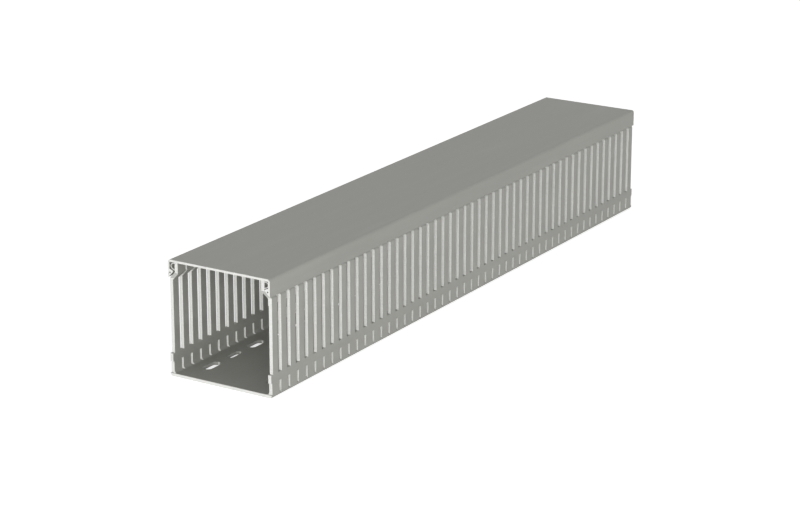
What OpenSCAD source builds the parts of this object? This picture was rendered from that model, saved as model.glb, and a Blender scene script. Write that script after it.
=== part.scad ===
// Slotted wire duct: an extruded PVC duct base with finger walls and its clip-on cover.
// Length runs along X, width along Y, height along Z; the underside of the floor is at z = 0
// and the piece is centred on x = 0, y = 0. All sizes are in millimetres.

/* [Overall] */
// outside width across the two walls
duct_w = 80; // [60:1:120]
// height from the underside of the floor to the top of the closed cover
duct_h = 80; // [60:1:120]
// number of finger pitches in this cut length
pitches = 50; // [10:1:60]
// distance from one wall slot to the next
slot_pitch = 10; // [10:0.5:12.5]

/* [Base section] */
// thickness of the floor
floor_t = 2.2; // [1.8:0.1:2.6]
// thickness of walls, shoulders and clip legs
wall_t = 2.4; // [2:0.1:2.8]
// fillet inside, between floor and wall
fillet_r = 2; // [1.5:0.1:3]
// rounding outside, between floor and wall
corner_r = 1.5; // [0.8:0.1:1.7]
// rounding outside, where the wall bends into its sloping shoulder
bend_r = 2; // [1:0.1:2.5]
// how far the clip leg's outer face is stepped in from the wall's
leg_inset = 4.8; // [4.6:0.1:5.2]
// radius of the hollow clip bead on the leg
bead_r = 2.25; // [2.1:0.05:2.4]
// wall of the hollow clip bead
bead_t = 0.55; // [0.45:0.05:0.8]
// step from the top of the leg down to the top of the bead
bead_drop = 0.3; // [0.2:0.1:0.5]
// angle at which the underside of the bead falls towards the leg
bead_fall = 20; // [15:1:25]

/* [Wall slots] */
// width of a wall slot
slot_w = 4; // [3:0.1:5]
// width of the slot's narrow mouth between two finger heads
mouth_w = 2; // [1:0.1:2.5]
// height at which the wall slots start
slot_z = 15.8; // [12:0.1:20]
// distance from the top of the duct down to where the slots begin to narrow
taper_down = 13; // [11:0.1:15]
// length over which a slot narrows to its mouth
taper_l = 4.2; // [2:0.1:5]
// width of the break-out slits below the slots
slit_w = 2; // [1:0.1:2.5]
// length of a break-out slit up the wall, from the top of the floor
slit_l = 8; // [5:0.1:9]
// how far a break-out slit runs on into the fillet past the wall
slit_tail = 1.1; // [0.5:0.1:1.4]

/* [Floor slots] */
// distance between the two rows of fixing slots
row_gap = 50; // [30:1:50]
// distance from one fixing slot to the next along a row
hole_pitch = 25; // [20:0.5:30]
// length of the large fixing slots
large_l = 15.5; // [12:0.1:18]
// width of the large fixing slots
large_w = 6.5; // [5:0.1:8]
// length of the small fixing slots
small_l = 13.8; // [10:0.1:15]
// width of the small fixing slots
small_w = 4.8; // [4.2:0.1:6]

/* [Cover] */
// thickness of the cover plate
plate_t = 1.5; // [1.2:0.1:1.8]
// thickness of the cover's skirts
skirt_t = 1.3; // [1.2:0.05:1.5]
// depth of the skirts from the top of the cover
skirt_h = 12.1; // [11.6:0.1:12.5]
// joint left open between the skirt's lower edge and the wall's shoulder
joint_gap = 1; // [0.6:0.1:1.4]
// rounding of the cover's outer edges
cover_r = 1.8; // [1:0.1:2]
// distance from the skirt's inner face to the centre of the clip hook's round nose
hook_reach = 1.8; // [1.6:0.1:1.9]
// diameter of the hollow in the clip hook
hook_hollow = 1.1; // [0.8:0.1:1.3]
// clearance between cover and base
clip_gap = 0.35; // [0.3:0.05:0.45]

/* [Hidden] */
$fn = 32;
root2 = sqrt(2);
duct_l = pitches * slot_pitch;
half_w = duct_w / 2;
wall_in = half_w - wall_t;
skirt_in = half_w - skirt_t;
skirt_z = duct_h - skirt_h;
shoulder_z = skirt_z - joint_gap;
bend_z = shoulder_z - wall_t * (root2 - 1);
leg_out = half_w - leg_inset;
leg_in = leg_out - wall_t;
leg_top = duct_h - plate_t - clip_gap;
bead_y = skirt_in - clip_gap - bead_r;
bead_z = leg_top - bead_drop - bead_r;
hole_n = floor((duct_l / 2 - large_l / 2) / hole_pitch);

// height of the line that runs r below the bead's centre and falls towards the leg
function fall_z(y, r) = bead_z - r / cos(bead_fall) + (y - bead_y) * tan(bead_fall);
// height of the 45 degree line that leaves the duct's side at height z
function slope_z(y, z) = z + half_w - y;

// round nose of the cover's hook, touching the hook's upper side and its sloping underside
nose_y = skirt_in - hook_reach;
hook_z = fall_z(nose_y, bead_r + clip_gap);
nose_z = (hook_z * cos(bead_fall) + slope_z(nose_y, skirt_z) / root2) / (cos(bead_fall) + 1 / root2);
nose_r = (hook_z - nose_z) * cos(bead_fall);
// centre of the hollow in the hook
hollow_y = skirt_in - 0.4;
hollow_z = 0.45 * fall_z(hollow_y, bead_r + clip_gap) + 0.55 * slope_z(hollow_y, skirt_z);

// a section drawn for one side, repeated for the other
module both_sides() {
    children();
    mirror([1, 0]) children();
}

// extrudes a section along the whole length of the duct
module along_duct() {
    rotate([90, 0, 90]) linear_extrude(height = duct_l, center = true) children();
}

// extrudes an outline drawn along the length and up the wall, from y0 to y1
module across_duct(y0, y1) {
    translate([0, y1, 0]) rotate([90, 0, 0]) linear_extrude(height = y1 - y0) children();
}

// what a rounding of radius r takes off a square corner at the origin
module corner_waste(r) {
    difference() {
        translate([-r, -r]) square(r + 1);
        translate([-r, -r]) circle(r = r);
    }
}

// what a rounding of radius r takes off a bend at the origin, from upright to 45 degrees inwards
module bend_waste(r) {
    translate([-r, -r * tan(22.5)]) difference() {
        polygon([[0, 0], [1.5 * r, 0], [1.5 * r / root2, 1.5 * r / root2]]);
        circle(r = r);
    }
}

// outline of the clip bead, or of its hollow, for radius r
module bead_outline(r) {
    polygon([
        [leg_out, fall_z(leg_out, r)],
        [bead_y + r * sin(bead_fall), bead_z - r * cos(bead_fall)],
        [bead_y, bead_z], [bead_y, bead_z + r], [leg_out, bead_z + r]
    ]);
    intersection() {
        translate([bead_y, bead_z]) circle(r = r);
        translate([leg_out, bead_z - r]) square(2 * r);
    }
}

// half of the base section: floor, wall, sloping shoulder, clip leg and hollow bead
module base_half() {
    difference() {
        union() {
            square([half_w, floor_t]);
            translate([wall_in, 0]) square([wall_t, bend_z - bend_r]);
            translate([wall_in, floor_t]) mirror([0, 1]) corner_waste(fillet_r);
        }
        translate([half_w, 0]) mirror([0, 1]) corner_waste(corner_r);
    }
    difference() {
        polygon([
            [half_w, bend_z - bend_r], [half_w, shoulder_z],
            [leg_out, slope_z(leg_out, shoulder_z)], [leg_out, leg_top], [leg_in, leg_top],
            [leg_in, slope_z(leg_in, shoulder_z) - wall_t * root2], [wall_in, bend_z],
            [wall_in, bend_z - bend_r]
        ]);
        translate([half_w, shoulder_z]) bend_waste(bend_r);
    }
    difference() {
        bead_outline(bead_r);
        bead_outline(bead_r - bead_t);
    }
}

// wall slot with its narrow mouth, drawn about its centre line
module slot_outline() {
    taper_z = duct_h - taper_down;
    mouth_z = taper_z + taper_l;
    polygon([
        [-slot_w / 2, slot_z], [slot_w / 2, slot_z], [slot_w / 2, taper_z], [mouth_w / 2, mouth_z],
        [mouth_w / 2, duct_h + 1], [-mouth_w / 2, duct_h + 1], [-mouth_w / 2, mouth_z], [-slot_w / 2, taper_z]
    ]);
}

// fixing slot with round ends, its length along the duct
module long_hole(l, w) {
    square([l - w, w], center = true);
    for (s = [-1, 1]) translate([s * (l - w) / 2, 0]) circle(d = w);
}

// base extrusion with its slotted finger walls, break-out slits and fixing slots
module duct_base() {
    color([0.33, 0.33, 0.31]) difference() {
        along_duct() both_sides() base_half();
        across_duct(-half_w - 1, half_w + 1)
            for (i = [0:pitches]) translate([i * slot_pitch - duct_l / 2, 0]) slot_outline();
        for (s = [0, 1]) mirror([0, s, 0]) across_duct(wall_in - slit_tail, half_w + 1)
            for (i = [0:pitches])
                translate([i * slot_pitch - duct_l / 2 - slit_w / 2, floor_t]) square([slit_w, slit_l]);
        translate([0, 0, -1]) linear_extrude(height = floor_t + 2)
            for (i = [-hole_n:hole_n], s = [-1, 1]) translate([i * hole_pitch, s * row_gap / 2])
                if (abs(i) % 2 == 1) long_hole(large_l, large_w); else long_hole(small_l, small_w);
    }
}

// half of the cover section: plate, skirt and the hook that clips under the bead
module cover_half() {
    difference() {
        union() {
            translate([0, duct_h - plate_t]) square([half_w, plate_t]);
            polygon([
                [half_w, skirt_z], [half_w, duct_h], [skirt_in, duct_h],
                [skirt_in, fall_z(skirt_in, bead_r + clip_gap)],
                [nose_y - nose_r * sin(bead_fall), nose_z + nose_r * cos(bead_fall)],
                [nose_y, nose_z], [nose_y - nose_r / root2, nose_z - nose_r / root2]
            ]);
            translate([nose_y, nose_z]) circle(r = nose_r);
        }
        translate([half_w, duct_h]) corner_waste(cover_r);
        translate([hollow_y, hollow_z]) circle(d = hook_hollow);
    }
}

// clip-on cover extrusion
module cover() {
    color([0.36, 0.36, 0.34]) along_duct() both_sides() cover_half();
}

duct_base();
cover();
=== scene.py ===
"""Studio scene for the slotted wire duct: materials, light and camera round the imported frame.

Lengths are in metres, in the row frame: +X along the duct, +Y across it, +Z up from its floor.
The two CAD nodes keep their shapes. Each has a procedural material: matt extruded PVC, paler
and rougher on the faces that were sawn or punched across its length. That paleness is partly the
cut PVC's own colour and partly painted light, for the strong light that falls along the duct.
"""
import math

import bpy
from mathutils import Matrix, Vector

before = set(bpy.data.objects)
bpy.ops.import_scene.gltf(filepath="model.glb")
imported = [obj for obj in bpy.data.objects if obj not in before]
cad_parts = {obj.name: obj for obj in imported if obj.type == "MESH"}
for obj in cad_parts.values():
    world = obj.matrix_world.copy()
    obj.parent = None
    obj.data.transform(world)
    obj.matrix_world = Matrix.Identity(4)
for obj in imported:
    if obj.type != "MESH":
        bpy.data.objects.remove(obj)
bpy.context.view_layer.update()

# camera: where it looks at, from what side, how far off and through what lens
VIEW_AIM = Vector((-0.0140, 0.0114, 0.0217))
VIEW_AZIMUTH = -57.916
VIEW_ELEVATION = 17.822
VIEW_DISTANCE = 1.8371
LENS_MM = 114.93
SENSOR_MM = 36.0

# colours, linear
PVC = (0.292, 0.294, 0.268)
# cut faces' colour: partly the sawn and punched PVC's own paleness, partly painted light
PVC_CUT_AND_PAINTED_LIGHT = (0.800, 0.803, 0.775)
FLOOR_GREY = 0.80
WHITE = (1.0, 1.0, 1.0, 1.0)

# a face counts as cut across the duct where its normal's X part passes between these; the slow
# # ramp gives the slightly tilted cut faces in the slots' tapers a darker colour, which is
# painted shade
CUT_PAINTED_SHADE_FROM, CUT_PAINTED_SHADE_FULL = 0.955, 0.998

# stage: the floor's radius, and the glow that keeps it white in the picture
FLOOR_RADIUS = 14.0
FLOOR_GLOW = 0.64

# sky: its level at the horizon and straight above
HORIZON_LEVEL = 0.85
ZENITH_LEVEL = 0.36

# lamps: name, azimuth, elevation, distance, diameter, watts, the point that it faces
LAMPS = (
    ("key", -60.0, 8.0, 1.9, 1.2, 25.0, (-0.1, 0.0, 0.04)),
    ("fill", -6.0, 4.0, 2.4, 1.4, 8.0, (0.05, 0.0, 0.04)),
)

# the two pieces and the place in the noise that each one's material starts from
SEEDS = {"duct_base": 0.0, "cover": 21.0}


def back_vector(azimuth, elevation):
    """Unit vector towards a viewer or a lamp; azimuth 0 looks along +Y, 90 along -X."""
    a, e = math.radians(azimuth), math.radians(elevation)
    return Vector((math.sin(a) * math.cos(e), -math.cos(a) * math.cos(e), math.sin(e)))


def place_facing(thing, aim, azimuth, elevation, distance):
    """Puts a lamp or a camera at a distance from its aim, and turns it to face that point."""
    towards = back_vector(azimuth, elevation)
    thing.location = Vector(aim) + towards * distance
    thing.rotation_mode = "QUATERNION"
    thing.rotation_quaternion = (-towards).to_track_quat("-Z", "Y")
    bpy.context.scene.collection.objects.link(thing)


def shade(colour, factor=1.0):
    """A colour made lighter or darker, with its alpha."""
    return tuple(c * factor for c in colour) + (1.0,)


# --- node helpers -------------------------------------------------------------------------

class Tree:
    """A small wrapper that adds nodes and links to one node tree."""

    def __init__(self, owner, output):
        self.owner = owner
        owner.use_nodes = True
        self.nodes = owner.node_tree.nodes
        self.links = owner.node_tree.links
        self.nodes.clear()
        self.output = self.nodes.new(output)

    def feed(self, socket, value):
        if isinstance(value, bpy.types.NodeSocket):
            self.links.new(value, socket)
        else:
            socket.default_value = value

    def add(self, kind, out=0, settings=None, **inputs):
        node = self.nodes.new(kind)
        for key, value in (settings or {}).items():
            setattr(node, key, value)
        for key, value in inputs.items():
            self.feed(node.inputs[key.replace("_", " ")], value)
        return node.outputs[out]

    def pair(self, kind, a, b, factor=None):
        """A node that joins two shaders; a factor, where it has one, is its first socket."""
        node = self.nodes.new(kind)
        sockets = list(node.inputs)
        if factor is not None:
            self.feed(sockets.pop(0), factor)
        self.feed(sockets[0], a)
        self.feed(sockets[1], b)
        return node.outputs[0]

    def math(self, operation, a, b=0.0):
        node = self.nodes.new("ShaderNodeMath")
        node.operation = operation
        self.feed(node.inputs[0], a)
        self.feed(node.inputs[1], b)
        return node.outputs[0]

    def mix(self, factor, a, b):
        node = self.nodes.new("ShaderNodeMix")
        node.data_type = "RGBA"
        self.feed(node.inputs["Factor"], factor)
        self.feed(node.inputs[6], a)
        self.feed(node.inputs[7], b)
        return node.outputs[2]

    def remap(self, value, lo, hi, to_lo=0.0, to_hi=1.0, curve="LINEAR"):
        return self.add("ShaderNodeMapRange", settings={"interpolation_type": curve}, Value=value,
                        From_Min=lo, From_Max=hi, To_Min=to_lo, To_Max=to_hi)

    def noise(self, scales, detail=3.0, seed=0.0):
        """Noise in the piece's own coordinates, with its scale along each axis, per metre."""
        place = self.add("ShaderNodeTexCoord", out=3)
        moved = self.add("ShaderNodeMapping", Vector=place,
                         Location=(seed, seed * 0.7, seed * 1.3), Scale=scales)
        return self.add("ShaderNodeTexNoise", Vector=moved, Scale=1.0, Detail=detail,
                        Roughness=0.5)

    def axis_part(self, vector, axis):
        """One part of a vector: axis 0 is X, 1 is Y and 2 is Z."""
        return self.add("ShaderNodeSeparateXYZ", out=axis, Vector=vector)

    def seen(self):
        """1 for what the camera and mirror-like reflections look at, 0 for what only lights."""
        path = self.nodes.new("ShaderNodeLightPath")
        return self.math("MAXIMUM", path.outputs["Is Camera Ray"], path.outputs["Is Glossy Ray"])


# --- materials and sky ----------------------------------------------------------------------

def pvc_material(name, seed):
    """Matt extruded PVC: die lines along X, faint mottling and a fine grain; where a saw or
    a punch has cut across the section it is paler and rougher, with the tool's own marks.
    That paleness is partly the cut PVC's own colour and partly painted light, for the
    strong light that falls along the duct onto these faces."""
    t = Tree(bpy.data.materials.new(name), "ShaderNodeOutputMaterial")
    facing = t.add("ShaderNodeTexCoord", out=1)
    # mask of faces across the duct: they get the paler colour, partly real and partly painted
    # light
    cut_and_painted_light = t.remap(t.math("ABSOLUTE", t.axis_part(facing, 0)), CUT_PAINTED_SHADE_FROM, CUT_PAINTED_SHADE_FULL)

    mottle = t.noise((9.0, 60.0, 60.0), detail=3.0, seed=seed)
    lines = t.noise((3.0, 1500.0, 1500.0), detail=2.0, seed=seed + 3.1)
    grain = t.noise((2600.0, 2600.0, 2600.0), detail=2.0, seed=seed + 5.7)
    marks = t.noise((400.0, 260.0, 2400.0), detail=3.0, seed=seed + 8.3)

    body_colour = t.mix(t.remap(mottle, 0.35, 0.65), shade(PVC, 0.93), shade(PVC, 1.06))
    body_colour = t.mix(t.remap(lines, 0.3, 0.7, 0.0, 0.10), body_colour, shade(PVC, 0.8))
    # paler cut-face colour with tool marks; its paleness is partly painted light
    cut_colour_painted_light = t.mix(t.remap(marks, 0.3, 0.7), shade(PVC_CUT_AND_PAINTED_LIGHT, 0.86), shade(PVC_CUT_AND_PAINTED_LIGHT))
    colour = t.mix(cut_and_painted_light, body_colour, cut_colour_painted_light)

    rough_body = t.remap(mottle, 0.3, 0.7, 0.46, 0.58)
    rough_cut = t.remap(marks, 0.3, 0.7, 0.66, 0.82)
    rough = t.add("ShaderNodeMix", Factor=cut_and_painted_light, A=rough_body, B=rough_cut)

    height = t.math("ADD", t.math("MULTIPLY", lines, 0.6), t.math("MULTIPLY", grain, 0.4))
    height = t.add("ShaderNodeMix", Factor=cut_and_painted_light, A=height, B=marks)
    bump = t.add("ShaderNodeBump", Strength=0.35, Distance=0.00006, Height=height)

    shader = t.add("ShaderNodeBsdfPrincipled", Base_Color=colour, Roughness=rough, Normal=bump,
                   IOR=1.53)
    t.links.new(shader, t.output.inputs[0])
    return t.owner


def floor_material():
    """Pale matt floor. The camera sees it near white, still with the object's shadow."""
    t = Tree(bpy.data.materials.new("studio_floor"), "ShaderNodeOutputMaterial")
    grey = (FLOOR_GREY,) * 3
    grain = t.noise((30.0, 30.0, 30.0), detail=4.0)
    colour = t.mix(t.remap(grain, 0.3, 0.7), shade(grey, 0.985), shade(grey))
    diffuse = t.add("ShaderNodeBsdfDiffuse", Color=colour)
    glow = t.add("ShaderNodeEmission", Color=WHITE, Strength=FLOOR_GLOW)
    both = t.pair("ShaderNodeAddShader", diffuse, glow)
    t.links.new(t.pair("ShaderNodeMixShader", diffuse, both, t.seen()), t.output.inputs[0])
    return t.owner


def sky():
    """A soft white sky that lights less from above; the camera sees it plain white."""
    t = Tree(bpy.data.worlds.new("studio"), "ShaderNodeOutputWorld")
    height = t.axis_part(t.add("ShaderNodeTexCoord"), 2)
    level = t.remap(height, 0.0, 1.0, HORIZON_LEVEL, ZENITH_LEVEL, curve="SMOOTHSTEP")
    light = t.add("ShaderNodeBackground", Color=WHITE, Strength=level)
    backdrop = t.add("ShaderNodeBackground", Color=WHITE, Strength=1.0)
    t.links.new(t.pair("ShaderNodeMixShader", light, backdrop, t.seen()), t.output.inputs[0])
    return t.owner


# --- the duct -------------------------------------------------------------------------------

for node_name, seed in SEEDS.items():
    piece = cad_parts[node_name]
    piece.data.materials.clear()
    piece.data.materials.append(pvc_material(piece.name + "_pvc", seed))

# --- stage, light and camera -----------------------------------------------------------------

bpy.ops.mesh.primitive_circle_add(vertices=96, radius=FLOOR_RADIUS, fill_type="NGON",
                                  location=(0, 0, 0))
floor = bpy.context.object
floor.name = "studio_floor"
floor.data.materials.append(floor_material())

bpy.context.scene.world = sky()

for name, azimuth, elevation, distance, diameter, watts, aim in LAMPS:
    lamp = bpy.data.lights.new(name, "AREA")
    lamp.shape, lamp.size, lamp.energy = "DISK", diameter, watts
    place_facing(bpy.data.objects.new(name, lamp), aim, azimuth, elevation, distance)

lens = bpy.data.cameras.new("camera")
lens.lens, lens.sensor_width = LENS_MM, SENSOR_MM
lens.clip_start, lens.clip_end = 0.05, 60.0
camera = bpy.data.objects.new("camera", lens)
place_facing(camera, VIEW_AIM, VIEW_AZIMUTH, VIEW_ELEVATION, VIEW_DISTANCE)
bpy.context.scene.camera = camera

bpy.context.scene.view_settings.view_transform = "Standard"
